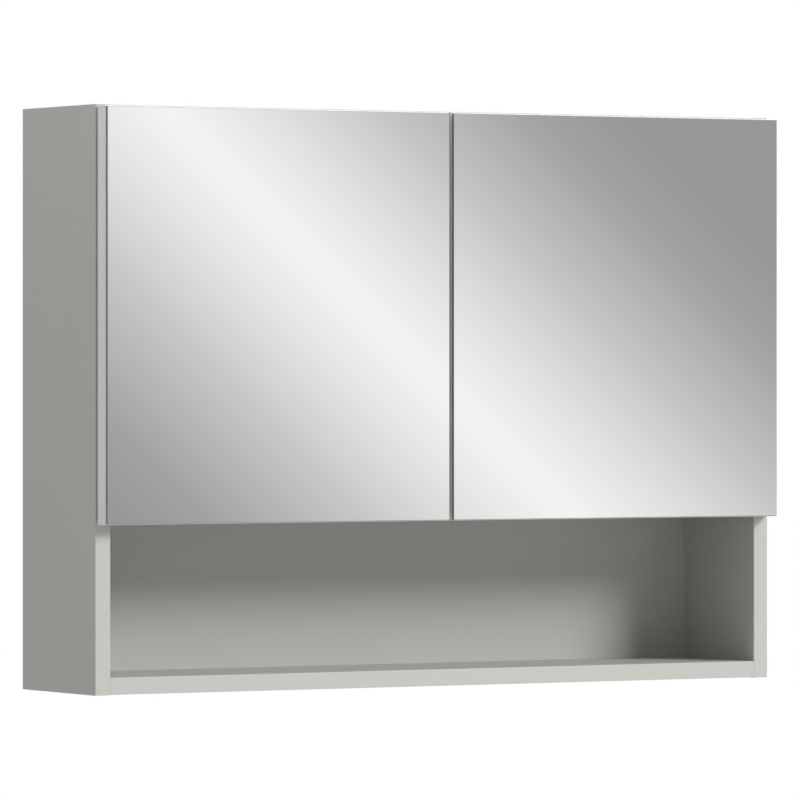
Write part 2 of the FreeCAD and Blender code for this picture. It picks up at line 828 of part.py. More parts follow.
def make_door_bands():
    width = DOOR_WIDTH
    strips = [
        ("lower", "0", "0", width, "band", "Z", "Min"),
        ("upper", "0", "door_height - band", width, "door_height", "Z", "Max"),
        ("outer", "0", "band", "band", "door_height - band", "X", "Min"),
        ("inner", f"{width} - band", "band", width, "door_height - band", "X", "Max"),
    ]
    return group("left_door_edge_bands", [make_door_band(*strip) for strip in strips])


def make_bumper():
    """A clear buffer on the door's back, its axis along Y, slightly domed."""
    thickness = value("bumper_thickness")
    disc = cylinder(value("bumper_radius"), (0, 0, 0), (0, 1, 0), thickness)
    rim = [edge for edge in disc.Edges if edge.Closed and edge.BoundBox.YMin > thickness / 2]
    return disc.makeFillet(0.6 * thickness, rim)


left_door_panel = make_door_panel()
mirror_piece("right_door_panel", left_door_panel)
left_mirror = make_mirror()
mirror_piece("right_mirror", left_mirror)
left_bands = make_door_bands()
mirror_piece("right_door_edge_bands", left_bands)
bumper = shape_piece("door_bumper", make_bumper())
bumper_x = value(f"{DOOR_RIGHT} - bumper_from_edge")
bumper_heights = [f"{LEVELS['middle']} + board/2", f"{LEVELS['top']} + board/2"]
left_bumpers = group(
    "left_door_bumpers",
    [
        copy_at(bumper, bumper_x, value(DOOR_BACK), value(f"{BOTTOM} + {height}"))
        for height in bumper_heights
    ],
)
mirror_piece("right_door_bumpers", left_bumpers)


# ---------------------------------------------------------------- hinges
# A hinge is drawn about its own centre: X from the side panel's inner face towards the middle of
# the cabinet, Y inward from the carcass's front, Z up.
SIDES = ("left", "right")
INNER_HALF_WIDTH = value("inner_half_width")
CHEEK_IN, CHEEK_OUT = value("cheek_in"), value("cheek_out")
ARM_IN, ARM_OUT = value("arm_in"), value("arm_out")
ARM_EYE, CUP_EYE = value("arm_eye_radius"), value("cup_eye_radius")
SLOT_REACH, SLOT_TURN = value("slot_reach"), math.radians(value("slot_turn"))
STRAP_STEPS = 16
FAR = 60


def pivot(name):
    return value(name + "_across"), value(name + "_inward")


INNER_ARM = pivot("inner_arm")
INNER_CUP = pivot("inner_cup")
OUTER_ARM = pivot("outer_arm")
OUTER_CUP = pivot("outer_cup")
# The straps bend round the rim of the cup and the corner of the door, which swing close to them.
INNER_BENDS = [(15.8, 12), (17.2, 3.5), (12.2, -5.2), (4.6, -10), (-1.8, -9.7)]
OUTER_BENDS = [(19.5, 0.8), (9.5, -3.4), (3, -6)]


def upright_pin(place, radius, half_length):
    return cylinder(radius, (*place, -half_length), (0, 0, 1), 2 * half_length)


def plate_shape(points, low, high):
    """A flat plate of the outline through points, from height low to high."""
    corners = [Vector(x, y, low) for x, y in points]
    return Part.Face(Part.makePolygon(corners + corners[:1])).extrude(Vector(0, 0, high - low))


def strap(route, low, high):
    """A bent strap of even thickness whose middle line runs smoothly through the route."""
    half = value("link_steel") / 2
    middle = Part.BSplineCurve()
    middle.interpolate([Vector(x, y, low) for x, y in route])
    left, right = [], []
    for step in range(STRAP_STEPS + 1):
        place = middle.FirstParameter + step / STRAP_STEPS * (
            middle.LastParameter - middle.FirstParameter
        )
        point = middle.value(place)
        along = middle.tangent(place)[0]
        across = Vector(-along.y, along.x, 0) * half
        left.append(point + across)
        right.append(point - across)
    sides = []
    for points in (left, right):
        curve = Part.BSplineCurve()
        curve.interpolate(points)
        sides.append(curve.toShape())
    ends = [Part.makeLine(left[0], right[0]), Part.makeLine(left[-1], right[-1])]
    outline = Part.Wire(Part.__sortEdges__(sides + ends))
    return Part.Face(outline).extrude(Vector(0, 0, high - low))


def make_inner_link():
    """The narrow link, from the pin at the back of the arm round the cup's rim into the cup."""
    link = strap([INNER_ARM, *INNER_BENDS, INNER_CUP], -INNER_HALF_WIDTH, INNER_HALF_WIDTH)
    link = link.fuse(upright_pin(INNER_ARM, ARM_EYE, INNER_HALF_WIDTH))
    link = link.fuse(upright_pin(INNER_CUP, CUP_EYE, INNER_HALF_WIDTH))
    link = link.cut(upright_pin(INNER_ARM, value("arm_pin_radius + pin_play"), FAR))
    return link.cut(upright_pin(INNER_CUP, value("cup_pin_radius + pin_play"), FAR))


def slot_end():
    """Where the pin of the outer link's long eye is furthest from its rest place."""
    x, y = OUTER_CUP
    return x + SLOT_REACH * math.cos(SLOT_TURN), y + SLOT_REACH * math.sin(SLOT_TURN)


def long_eye(rest_radius, far_radius, half_low, half_high):
    """The outline of the outer link's eye or of its slot, wider where the pin travels to."""
    ends = ((OUTER_CUP, rest_radius), (slot_end(), far_radius))
    across = Vector(-math.sin(SLOT_TURN), math.cos(SLOT_TURN), 0)
    corners = []
    for side, order in ((1, ends), (-1, ends[::-1])):
        for (x, y), radius in order:
            corner = Vector(x, y, 0) + across * side * radius
            corners.append((corner.x, corner.y))
    parts = []
    for low, high in ((half_low, half_high), (-half_high, -half_low)):
        rounds = [
            cylinder(radius, (x, y, low), (0, 0, 1), high - low) for (x, y), radius in ends
        ]
        parts.append(plate_shape(corners, low, high).fuse(rounds))
    return parts


def make_outer_link():
    """Two cheeks either side of the inner link, joined round the pin at the arm's nose."""
    rest = value("cup_pin_radius + slot_rest_play")
    far = value("cup_pin_radius + slot_far_play")
    rest_wall, far_wall = value("slot_rest_wall"), value("slot_far_wall")
    link = upright_pin(OUTER_ARM, ARM_EYE, CHEEK_OUT)
    for low, high in ((CHEEK_IN, CHEEK_OUT), (-CHEEK_OUT, -CHEEK_IN)):
        link = link.fuse(strap([OUTER_ARM, *OUTER_BENDS, OUTER_CUP], low, high))
    link = link.fuse(long_eye(rest + rest_wall, far + far_wall, CHEEK_IN, CHEEK_OUT))
    link = link.cut(upright_pin(OUTER_ARM, value("arm_pin_radius + pin_play"), FAR))
    return link.cut(long_eye(rest, far, 0, FAR))


PLATE_FRONT, PLATE_BACK = value("block_front"), value("block_back")
BLOCK_TOP = value("block_top")
ARM_STEEL = ARM_OUT - ARM_IN
ADJUSTER_DEPTHS = (value("front_adjuster"), value("rear_adjuster"))
PIN_RIVET = 0.4


def make_arm_pins():
    radius = value("arm_pin_radius")
    return [upright_pin(place, radius, ARM_OUT + PIN_RIVET) for place in (INNER_ARM, OUTER_ARM)]


def make_adjusters():
    """The two slotted screws that set the arm on its mounting plate."""
    screws = []
    for depth in ADJUSTER_DEPTHS:
        head = cylinder(3.2, (BLOCK_TOP + ARM_STEEL, depth, 0), (1, 0, 0), 1.8)
        shank = cylinder(2, (BLOCK_TOP - 7, depth, 0), (1, 0, 0), 7 + ARM_STEEL)
        slot = Part.makeBox(1, 5, 1, Vector(BLOCK_TOP + ARM_STEEL + 0.9, depth - 2.5, -0.5))
        screws.append(head.fuse(shank).cut(slot))
    return screws


def make_hinge_plate():
    """The mounting plate: a cross flange on the side panel and a block that carries the arm."""
    screw_depth = value("hinge_screw_depth")
    half_pitch = value("hinge_screw_pitch") / 2
    flange = Part.makeBox(2, 16, 2 * half_pitch + 14, Vector(0, screw_depth - 8, -half_pitch - 7))
    corners = [edge for edge in flange.Edges if abs(edge.BoundBox.XLength - 2) < 0.01]
    flange = flange.makeFillet(4, corners)
    depth = PLATE_BACK - PLATE_FRONT
    half_width = ARM_IN - 0.1
    corner = Vector(0, PLATE_FRONT, -half_width)
    block = Part.makeBox(BLOCK_TOP, depth, 2 * half_width, corner)
    sharp = [e for e in block.Edges if e.BoundBox.XMin > BLOCK_TOP - 0.01 and e.Length > 20]
    plate = block.makeFillet(1, sharp).fuse(flange)
    for height in (-half_pitch, half_pitch):
        plate = plate.cut(cylinder(2.6, (-1, screw_depth, height), (1, 0, 0), FAR))
    for screw in make_adjusters():
        plate = plate.cut(screw)
    return plate


def make_plate_screws():
    """The two screws through the flange into the side panel's bores."""
    screws = []
    half_pitch = value("hinge_screw_pitch") / 2
    for height in (-half_pitch, half_pitch):
        place = (2, value("hinge_screw_depth"), height)
        head = cylinder(4, place, (1, 0, 0), 2)
        head = head.makeFillet(0.8, [edge for edge in head.Edges if edge.BoundBox.XMin > 3.9])
        shank = cylinder(2.4, (-11, place[1], height), (1, 0, 0), 13)
        slot = Part.makeBox(1.2, 5, 1, Vector(2.9, place[1] - 2.5, height - 0.5))
        screws.append(head.fuse(shank).cut(slot))
    return screws


def make_hinge_arm():
    """A steel channel over the block, whose cheeks reach forward to both arm pins."""
    nose_x, nose_y = OUTER_ARM
    cheek = [
        (6, PLATE_BACK + 2),
        (BLOCK_TOP + ARM_STEEL, PLATE_BACK + 2),
        (BLOCK_TOP + ARM_STEEL, PLATE_FRONT + 4),
        (nose_x + 3, nose_y + 4.5),
        (nose_x + 3, nose_y - 2),
        (nose_x + 1.5, nose_y - 3.2),
        (nose_x - 2, nose_y - 3.2),
        (7.2, 16.5),
        (6, 18),
    ]
    arm = Part.makeBox(
        ARM_STEEL,
        PLATE_BACK + 2 - PLATE_FRONT - 4,
        2 * ARM_OUT,
        Vector(BLOCK_TOP, PLATE_FRONT + 4, -ARM_OUT),
    )
    for low, high in ((ARM_IN, ARM_OUT), (-ARM_OUT, -ARM_IN)):
        arm = arm.fuse(plate_shape(cheek, low, high))
    for tool in make_arm_pins() + make_adjusters():
        arm = arm.cut(tool)
    return arm


def cup_axis():
    """Across and inward places of the cup's centre at the back face of the door."""
    return value(f"{SIDE_INNER} + {DOOR_LEFT} + cup_from_edge"), value("0 - door_gap_back")


def make_cup_pins():
    """The inner link's pin across the cup, and a stub on each side for the outer link's cheeks."""
    radius = value("cup_pin_radius")
    bowl = value("cup_radius - fit_play - cup_wall")
    centre = cup_axis()[0]
    pins = []
    for place in (INNER_CUP, OUTER_CUP):
        half = math.sqrt(bowl**2 - (abs(place[0] - centre) - radius) ** 2)
        pins.append(upright_pin(place, radius, half))
    limit = cylinder(bowl + 0.4, (centre, 0, 0), (0, -1, 0), FAR)
    inner_pin, outer_pin = (pin.common(limit) for pin in pins)
    gap_half = CHEEK_IN - value("fit_play")
    gap = Part.makeBox(2 * FAR, 2 * FAR, 2 * gap_half, Vector(-FAR, -FAR, -gap_half))
    return [inner_pin] + outer_pin.cut(gap).Solids


def make_cup():
    """A pressed bowl in the door's bore, with a flange for its two screws."""
    centre, back = cup_axis()
    radius = value("cup_radius - fit_play")
    wall = value("cup_wall")
    depth = value("cup_depth")
    thick = value("flange_thickness")
    flange = Part.makeBox(15, thick, 58, Vector(centre + 1.5, back, -29))
    corners = [edge for edge in flange.Edges if abs(edge.BoundBox.YLength - thick) < 0.01]
    flange = flange.makeFillet(6, [e for e in corners if e.BoundBox.XMax > centre + 10])
    bowl = cylinder(radius, (centre, back, 0), (0, -1, 0), depth)
    bottom = [edge for edge in bowl.Edges if edge.BoundBox.YMax < back - depth + 0.1]
    bowl = bowl.makeFillet(1.5, bottom).fuse(flange)
    hollow = cylinder(radius - wall, (centre, back + 2, 0), (0, -1, 0), depth + 2 - wall)
    cup = bowl.cut(hollow)
    for side in (-1, 1):
        across, rise = centre + value("cup_screw_side"), side * value("cup_screw_rise")
        place = (across, back + 2, rise)
        cup = cup.cut(cylinder(2.3, place, (0, -1, 0), 4))
    for pin in make_cup_pins():
        cup = cup.cut(pin)
    return cup


def make_cup_screws():
    """Two screws through the cup's flange into the door board."""
    centre, back = cup_axis()
    screws = []
    for side in (-1, 1):
        x, z = centre + value("cup_screw_side"), side * value("cup_screw_rise")
        top = back + value("flange_thickness")
        head = cylinder(3.8, (x, top + 0.9, z), (0, -1, 0), 0.9)
        shank = cylinder(2.2, (x, top, z), (0, -1, 0), value("cup_screw_depth"))
        slot = Part.makeBox(5, 0.6, 0.9, Vector(x - 2.5, top + 0.4, z - 0.45))
        screws.append(head.fuse(shank).cut(slot))
    return screws


def hinge_placement(side, height):
    """Where a hinge's own frame lies. A right-hand hinge is the same hinge turned over."""
    across = value(SIDE_INNER) * (1 if side == "right" else -1)
    place = Vector(across, value(FRONT), value(f"{BOTTOM} + {height}"))
    return FreeCAD.Placement(place, FreeCAD.Rotation(Vector(0, 1, 0), 180 if across > 0 else 0))


def hinge_copies(masters, sides):
    """A link to each of the masters at each hinge of the given sides."""
    copies = []
    for side in sides:
        for height in HINGES.values():
            for master in masters:
                link = copy_at(master)
                link.Placement = hinge_placement(side, height)
                copies.append(link)
    return copies


hinge_pieces = {
    "hinge_plate": make_hinge_plate(),
    "hinge_arm": make_hinge_arm(),
    "inner_link": make_inner_link(),
    "outer_link": make_outer_link(),
}
shared_pieces = {
    "hinge_plate_screws": make_plate_screws(),
    "hinge_adjusting_screws": make_adjusters(),
    "hinge_arm_pins": make_arm_pins(),
}
door_pieces = {
    "hinge_cups": [make_cup()],
    "cup_screws": make_cup_screws(),
    "cup_pins": make_cup_pins(),
}
for piece_name, shape in hinge_pieces.items():
    for side in SIDES:
        for hinge_name, height in HINGES.items():
            piece = shape_piece(f"{side}_{hinge_name}_{piece_name}", shape)
            piece.Placement = hinge_placement(side, height)
            keep(piece)
for node_name, shapes in shared_pieces.items():
    masters = [shape_piece(node_name + "_piece", shape) for shape in shapes]
    group(node_name, hinge_copies(masters, SIDES))
for node_name, shapes in door_pieces.items():
    masters = [shape_piece(node_name + "_piece", shape) for shape in shapes]
    for side in SIDES:
        group(f"{side}_{node_name}", hinge_copies(masters, [side]))


# ---------------------------------------------------------------- check and write
doc.recompute()
for item in doc.Objects:
    if "Invalid" in item.State or "Error" in item.State:
        raise RuntimeError(f"{item.Label} is {item.State}")
os.makedirs("parts", exist_ok=True)
for node in NODES:
    if node.Shape.isNull() or not node.Shape.isValid():
        raise RuntimeError(f"{node.Label} has no valid shape")
for node in NODES:
    node.Shape.exportStep(f"parts/{node.Label}.step")
print(f"{len(NODES)} sub-parts written")
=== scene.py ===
import math

import bpy
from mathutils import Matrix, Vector


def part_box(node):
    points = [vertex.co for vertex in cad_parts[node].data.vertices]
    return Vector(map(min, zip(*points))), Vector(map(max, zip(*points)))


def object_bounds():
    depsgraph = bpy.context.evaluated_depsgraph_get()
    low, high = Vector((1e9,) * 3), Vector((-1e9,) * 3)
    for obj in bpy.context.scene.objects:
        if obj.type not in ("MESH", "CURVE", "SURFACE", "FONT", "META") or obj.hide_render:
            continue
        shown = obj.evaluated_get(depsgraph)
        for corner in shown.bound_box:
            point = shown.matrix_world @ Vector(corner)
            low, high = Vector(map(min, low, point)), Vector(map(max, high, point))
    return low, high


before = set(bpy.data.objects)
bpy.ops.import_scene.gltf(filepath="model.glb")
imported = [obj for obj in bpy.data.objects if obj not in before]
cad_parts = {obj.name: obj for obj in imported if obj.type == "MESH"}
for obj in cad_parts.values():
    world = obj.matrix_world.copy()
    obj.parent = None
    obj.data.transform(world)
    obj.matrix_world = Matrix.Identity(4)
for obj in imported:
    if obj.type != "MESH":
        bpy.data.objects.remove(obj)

CAD_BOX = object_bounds()
MM = 0.001

# ---------------------------------------------------------------- the object's main places
LOW, HIGH = CAD_BOX
MIRROR_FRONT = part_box("left_mirror")[0].y
SKIN = 0.02 * MM  # how far from a face the look of what lies under it begins
PRESS_MESH = 1.7 * MM  # pitch of the mesh pressed into the back of the hardboard

# ---------------------------------------------------------------- colours, linear
MELAMINE = (0.393, 0.398, 0.371)
SILVER_BAND = (0.635, 0.635, 0.626)
CHIP_DARK = (0.20, 0.125, 0.065)
CHIP_LIGHT = (0.62, 0.47, 0.30)
HARDBOARD = (0.27, 0.155, 0.075)
GLASS_EDGE = (0.25, 0.257, 0.253)
MIRROR_SILVER = (0.90, 0.905, 0.905)
SHELF_FACE = (0.93, 0.975, 0.96)
SHELF_EDGE_DARK = (0.25, 0.55, 0.46)
SHELF_EDGE_LIGHT = (0.40, 0.68, 0.58)
NICKEL = (0.73, 0.71, 0.68)
ZINC = (0.66, 0.69, 0.72)
ZINC_CAST = (0.50, 0.51, 0.53)
BEECH_LIGHT = (0.60, 0.41, 0.24)
BEECH_DARK = (0.40, 0.24, 0.12)
HOUSING_WHITE = (0.80, 0.80, 0.77)
SILICONE = (0.78, 0.80, 0.80)
FLOOR = (0.84, 0.84, 0.83)
WHITE = (1.0, 1.0, 1.0)

# ---------------------------------------------------------------- texture scales, per metre
PEARL_SCALE = 1400
CLOUD_SCALE = 9
FLAKE_SCALE = 620
PIT_SCALE = 900
FIBRE_SCALE = 260
PATCH_SCALE = 7
BAND_LINES = (900, 1800, 900)
BAND_CLOUD_SCALE = 30
MIRROR_GRIND_SCALE = 1200
MIRROR_FILM_SCALE = 2.5
SHELF_GRIND_SCALE = 700
NICKEL_LINES = (300, 2500, 2500)
ZINC_LINES = (2200, 2200, 250)
CAST_LINES = (900, 900, 900)
TARNISH_SCALE = 160
BEECH_GRAIN = (90, 1500, 1500)
BEECH_FLECKS = (350, 2600, 2600)
CAP_SPARK_SCALE = 1500
HOUSING_SPARK_SCALE = 1100
SILICONE_SPARK_SCALE = 600
FLOOR_SCALE = 4

# ---------------------------------------------------------------- roughness, lowest and highest
MELAMINE_ROUGH = (0.40, 0.47)
PEARL_ROUGH = (0.0, 0.06)  # added to the melamine's
CHIP_ROUGH = 0.92
HARDBOARD_ROUGH = 0.8
CARCASS_BAND_ROUGH = (0.38, 0.46)
DOOR_BAND_ROUGH = (0.30, 0.40)
MIRROR_ROUGH = (0.012, 0.03)
MIRROR_EDGE_ROUGH = 0.32
SHELF_FACE_ROUGH = 0.01
SHELF_EDGE_ROUGH = (0.12, 0.28)
NICKEL_ROUGH = (0.16, 0.28)
ZINC_ROUGH = (0.26, 0.42)
CAST_ROUGH = (0.45, 0.6)
LINE_ROUGH = (0.0, 0.08)  # added to a metal's
BEECH_ROUGH = (0.6, 0.75)
PLASTIC_ROUGH_SPREAD = 0.05  # to either side of a plastic's own

# ---------------------------------------------------------------- relief, strength and depth
BOARD_RELIEF = (0.35, 0.12 * MM)
BACK_RELIEF = (0.2, 0.05 * MM)
BAND_RELIEF = (0.12, 0.03 * MM)
MIRROR_RELIEF = (0.02, 0.002 * MM)
METAL_RELIEF = (0.15, 0.02 * MM)
BEECH_RELIEF = (0.3, 0.05 * MM)
PLASTIC_RELIEF = (0.25, 0.04 * MM)
PEARL_RELIEF_SHARE = 0.12  # of the raw core's


# ---------------------------------------------------------------- node helpers
def add(tree, kind, inputs=None, **settings):
    """A node of one kind. An input is a plain value or another node's output."""
    made = tree.nodes.new(kind)
    for name, setting in settings.items():
        setattr(made, name, setting)
    for name, given in (inputs or {}).items():
        if isinstance(given, bpy.types.NodeSocket):
            tree.links.new(given, made.inputs[name])
        else:
            made.inputs[name].default_value = given
    return made


def colour(rgb):
    return (*rgb, 1.0)


def shade(rgb, factor):
    """A colour made darker or lighter."""
    return tuple(factor * part for part in rgb)


def place_of(tree):
    """The point's own place on the object, in metres."""
    return add(tree, "ShaderNodeTexCoord").outputs["Object"]


def place_parts(tree):
    """That place's X, Y and Z."""
    return add(tree, "ShaderNodeSeparateXYZ", {0: place_of(tree)}).outputs


def maths(tree, operation, first, second=0.0):
    return add(tree, "ShaderNodeMath", {0: first, 1: second}, operation=operation).outputs[0]


def noise(tree, scale, detail=3.0, roughness=0.6, vector=None):
    inputs = {"Scale": scale, "Detail": detail, "Roughness": roughness}
    inputs["Vector"] = vector or place_of(tree)
    return add(tree, "ShaderNodeTexNoise", inputs).outputs["Fac"]


def streaks(tree, scales, detail=3.0, roughness=0.6):
    """Noise with a scale for each axis, for grain, brushing or extrusion lines."""
    drawn_out = add(tree, "ShaderNodeMapping", {"Vector": place_of(tree), "Scale": scales})
    return noise(tree, 1.0, detail, roughness, drawn_out.outputs[0])


def ramp(tree, value, low, high, from_low=0.0, from_high=1.0):
    """value from one range spread evenly over another."""
    inputs = {0: value, 1: from_low, 2: from_high, 3: low, 4: high}
    return add(tree, "ShaderNodeMapRange", inputs).outputs[0]


def mix(tree, factor, first, second):
    """Two colours mixed by a factor."""
    made = add(tree, "ShaderNodeMix", {0: factor}, data_type="RGBA")
    for index, given in ((6, first), (7, second)):
        if isinstance(given, bpy.types.NodeSocket):
            tree.links.new(given, made.inputs[index])
        else:
            made.inputs[index].default_value = colour(given)
    return made.outputs[2]


def mix_numbers(tree, factor, first, second):
    """Two numbers mixed by a factor."""
    return add(tree, "ShaderNodeMix", {0: factor, 2: first, 3: second}).outputs[0]


def bump(tree, height, strength, distance):
    inputs = {"Height": height, "Strength": strength, "Distance": distance}
    return add(tree, "ShaderNodeBump", inputs).outputs[0]


def material(name, **sockets):
    """A new material with its principled shader set. Returns material, tree and shader."""
    made = bpy.data.materials.new(name)
    made.use_nodes = True
    shader = made.node_tree.nodes["Principled BSDF"]
    for socket, given in sockets.items():
        shader.inputs[socket.replace("_", " ")].default_value = given
    return made, made.node_tree, shader


def drive(tree, shader, **sockets):
    """Sets shader sockets from other nodes' outputs."""
    for socket, output in sockets.items():
        tree.links.new(output, shader.inputs[socket.replace("_", " ")])


def give(made, *node_names):
    """One material on each of the named nodes, in place of the plain one."""
    for name in node_names:
        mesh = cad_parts[name].data
        mesh.materials.clear()
        mesh.materials.append(made)


def both(name):
    return [f"left_{name}", f"right_{name}"]


# ---------------------------------------------------------------- boards
def melamine_look(tree):
    """Colour, roughness and relief of a matte melamine face: a fine pearl texture, cloudy sheen."""
    pearl = noise(tree, PEARL_SCALE)
    clouds = noise(tree, CLOUD_SCALE, roughness=0.55)
    tone = mix(tree, pearl, shade(MELAMINE, 0.965), shade(MELAMINE, 1.03))
    cloudy = ramp(tree, clouds, *MELAMINE_ROUGH)
    return tone, maths(tree, "ADD", cloudy, ramp(tree, pearl, *PEARL_ROUGH)), pearl


def chipboard_look(tree):
    """Colour and relief of raw chipboard: pressed flakes of several browns with small pits."""
    inputs = {"Vector": place_of(tree), "Scale": FLAKE_SCALE, "Randomness": 1.0}
    flakes = add(tree, "ShaderNodeTexVoronoi", inputs).outputs["Color"]
    flake = add(tree, "ShaderNodeSeparateColor", {0: flakes}).outputs[0]
    pits = noise(tree, PIT_SCALE, detail=4.0, roughness=0.7)
    tone = mix(tree, flake, CHIP_DARK, CHIP_LIGHT)
    tone = mix(tree, ramp(tree, pits, 0.0, 0.6, 0.45, 0.75), tone, CHIP_DARK)
    return tone, maths(tree, "ADD", flake, pits)


def inside(tree, axis, low, high):
    """1 where the point lies between two planes across an axis, which is the board's raw core."""
    along = place_parts(tree)[axis]
    if axis == "X":
        along = maths(tree, "ABSOLUTE", along)
    above = maths(tree, "GREATER_THAN", along, low + SKIN)
    below = maths(tree, "LESS_THAN", along, high - SKIN)
    return maths(tree, "MULTIPLY", above, below)


def board_material(name, axis, low, high, ends=None):
    """Melamine on a board's two faces, raw chipboard in its bores, grooves and cut edges.

    ends are two heights beyond which the edges are banded, so the core doesn't show there.
    """
    made, tree, shader = material(name, Specular_IOR_Level=0.42)
    core = inside(tree, axis, low, high)
    if ends:
        core = maths(tree, "MULTIPLY", core, inside(tree, "Z", *ends))
    tone, rough, pearl = melamine_look(tree)
    chip, relief = chipboard_look(tree)
    height = mix_numbers(tree, core, maths(tree, "MULTIPLY", pearl, PEARL_RELIEF_SHARE), relief)
    drive(
        tree,
        shader,
        Base_Color=mix(tree, core, tone, chip),
        Roughness=mix_numbers(tree, core, rough, CHIP_ROUGH),
        Normal=bump(tree, height, *BOARD_RELIEF),
    )
    return made


def dress_boards():
    for name in both("side_panel"):
        low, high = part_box(name)
        inner, outer = sorted((abs(low.x), abs(high.x)))
        give(board_material(name, "X", inner, outer, (low.z, high.z)), name)
    for name in ("top_panel", "middle_panel", "bottom_panel"):
        low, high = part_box(name)
        give(board_material(name, "Z", low.z, high.z), name)
    for name in both("door_panel"):
        low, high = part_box(name)
        give(board_material(name, "Y", low.y, high.y), name)


def dress_back_panel():
    """Lacquered in the carcass colour in front, brown hardboard with its press mesh behind."""
    made, tree, shader = material("back_board", Specular_IOR_Level=0.4)
    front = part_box("back_panel")[0].y
    x, y, z = place_parts(tree)
    raw = maths(tree, "GREATER_THAN", y, front + SKIN)
    tone, rough, pearl = melamine_look(tree)
    fibre = noise(tree, FIBRE_SCALE, detail=6.0, roughness=0.7)
    turns = 2 * math.pi / PRESS_MESH
    weft = maths(tree, "SINE", maths(tree, "MULTIPLY", x, turns))
    warp = maths(tree, "SINE", maths(tree, "MULTIPLY", z, turns))
    mesh = ramp(tree, maths(tree, "MULTIPLY", weft, warp), 0.0, 0.4, -1.0, 1.0)
    relief = maths(tree, "ADD", fibre, mesh)
    patches = ramp(tree, noise(tree, PATCH_SCALE, detail=4.0), 0.0, 1.0, 0.35, 0.7)
    dark = shade(HARDBOARD, 0.62)
    brown = mix(tree, maths(tree, "MULTIPLY", relief, 0.8), dark, HARDBOARD)
    brown = mix(tree, maths(tree, "MULTIPLY", patches, 0.3), brown, dark)
    drive(
        tree,
        shader,
        Base_Color=mix(tree, raw, tone, brown),
        Roughness=mix_numbers(tree, raw, rough, HARDBOARD_ROUGH),
        Normal=bump(tree, mix_numbers(tree, raw, pearl, relief), *BACK_RELIEF),
    )
    give(made, "back_panel")


def band_material(name, base, rough, level):
    """An extruded edge band, with faint lines along its length."""
    made, tree, shader = material(name, Specular_IOR_Level=level)
    lines = streaks(tree, BAND_LINES)
    cloud = noise(tree, BAND_CLOUD_SCALE, detail=2.0, roughness=0.5)
    drive(
        tree,
        shader,
        Base_Color=mix(tree, lines, shade(base, 0.97), shade(base, 1.02)),
        Roughness=ramp(tree, cloud, *rough),
        Normal=bump(tree, lines, *BAND_RELIEF),
    )
    return made


def dress_bands():
    """The boards' colour on the carcass, satin silver on the doors."""
    carcass = both("side_edge_band") + ["top_edge_band", "middle_edge_band", "bottom_edge_band"]
    give(band_material("carcass_band", MELAMINE, CARCASS_BAND_ROUGH, 0.45), *carcass)
    doors = both("door_edge_bands")
    give(band_material("door_band", SILVER_BAND, DOOR_BAND_ROUGH, 0.5), *doors)


# ---------------------------------------------------------------- glass
def dress_mirrors():
    """Silvered float glass: a true mirror in front, a ground grey edge round it.

    The front is told by its place on the mirror, so it stays a mirror as the door turns.
    """
    made, tree, shader = material("mirror_glass", Metallic=1.0)
    front = maths(tree, "LESS_THAN", place_parts(tree)["Y"], MIRROR_FRONT + SKIN)
    ground = noise(tree, MIRROR_GRIND_SCALE)
    edge = mix(tree, ground, shade(GLASS_EDGE, 0.9), shade(GLASS_EDGE, 1.3))
    film = ramp(tree, noise(tree, MIRROR_FILM_SCALE, detail=2.0, roughness=0.5), *MIRROR_ROUGH)
    drive(
        tree,
        shader,
        Base_Color=mix(tree, front, edge, MIRROR_SILVER),
        Roughness=mix_numbers(tree, front, MIRROR_EDGE_ROUGH, film),
        Normal=bump(tree, ground, *MIRROR_RELIEF),
    )
    give(made, *both("mirror"))


def dress_shelves():
    """Clear float glass, faintly green through its length, with ground and polished edges.

    The shelves never turn, so a face is told from an edge by its direction.
    """
    made, tree, shader = material(
        "shelf_glass", Transmission_Weight=1.0, IOR=1.5, Specular_IOR_Level=0.5
    )
    normal = add(tree, "ShaderNodeNewGeometry").outputs["True Normal"]
    upright = add(tree, "ShaderNodeSeparateXYZ", {0: normal}).outputs["Z"]
    face = maths(tree, "GREATER_THAN", maths(tree, "ABSOLUTE", upright), 0.9)
    ground = noise(tree, SHELF_GRIND_SCALE)
    edge = mix(tree, ground, SHELF_EDGE_DARK, SHELF_EDGE_LIGHT)
    edge_rough = ramp(tree, ground, *SHELF_EDGE_ROUGH)
    drive(
        tree,
        shader,
        Base_Color=mix(tree, face, edge, SHELF_FACE),
        Roughness=mix_numbers(tree, face, edge_rough, SHELF_FACE_ROUGH),
    )
    give(made, "lower_glass_shelf", "upper_glass_shelf")


# ---------------------------------------------------------------- metal
def metal_material(name, tint, rough, line_scales, blotch=0.0):
    """A plated metal: fine drawing lines, roughness that wanders, and darker tarnish blotches."""
    made, tree, shader = material(name, Metallic=1.0)
    lines = streaks(tree, line_scales, detail=4.0)
    wander = noise(tree, TARNISH_SCALE)
    clear = ramp(tree, wander, 0.0, 1.0, 0.35, 0.65)
    rough_here = ramp(tree, wander, *rough)
    drive(
        tree,
        shader,
        Base_Color=mix(tree, clear, shade(tint, 0.86 - blotch), tint),
        Roughness=maths(tree, "ADD", rough_here, ramp(tree, lines, *LINE_ROUGH)),
        Normal=bump(tree, lines, *METAL_RELIEF),
    )
    return made


